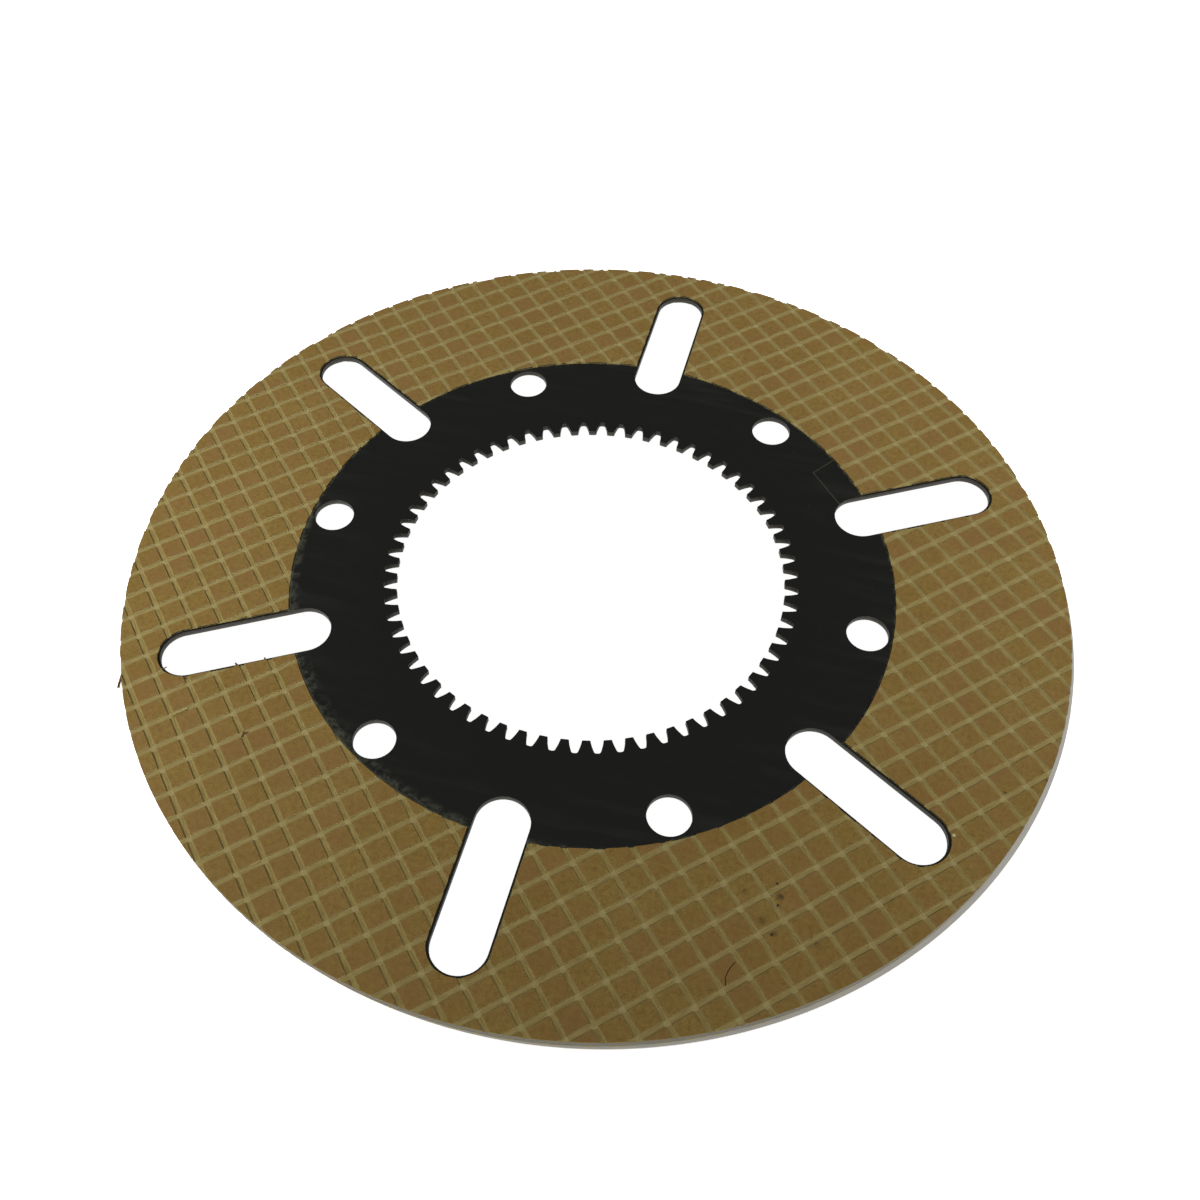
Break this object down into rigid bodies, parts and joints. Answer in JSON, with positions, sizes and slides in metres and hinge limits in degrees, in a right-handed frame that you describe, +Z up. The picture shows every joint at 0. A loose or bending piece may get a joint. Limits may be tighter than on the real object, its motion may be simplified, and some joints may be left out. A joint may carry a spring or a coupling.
{
  "type": "clutch friction disc",
  "caption": "Flat round wet clutch friction disc with a toothed bore, radial slots, bolt holes and a grooved paper facing on each side.",
  "frame": {"origin": "on the axis, at the underside of the lower facing, where the disc lies on a flat surface", "axes": "+Z up along the disc's axis, +Y through the middle of one slot, +X through the middle of one bolt hole"},
  "size_m": [0.46, 0.46, 0.0052],
  "materials": {
    "black_steel": "satin",
    "friction_paper": "matte"
  },
  "bodies": {
    "root": {"core_plate": "black_steel", "upper_facing": "friction_paper", "lower_facing": "friction_paper"}
  },
  "joints": []
}
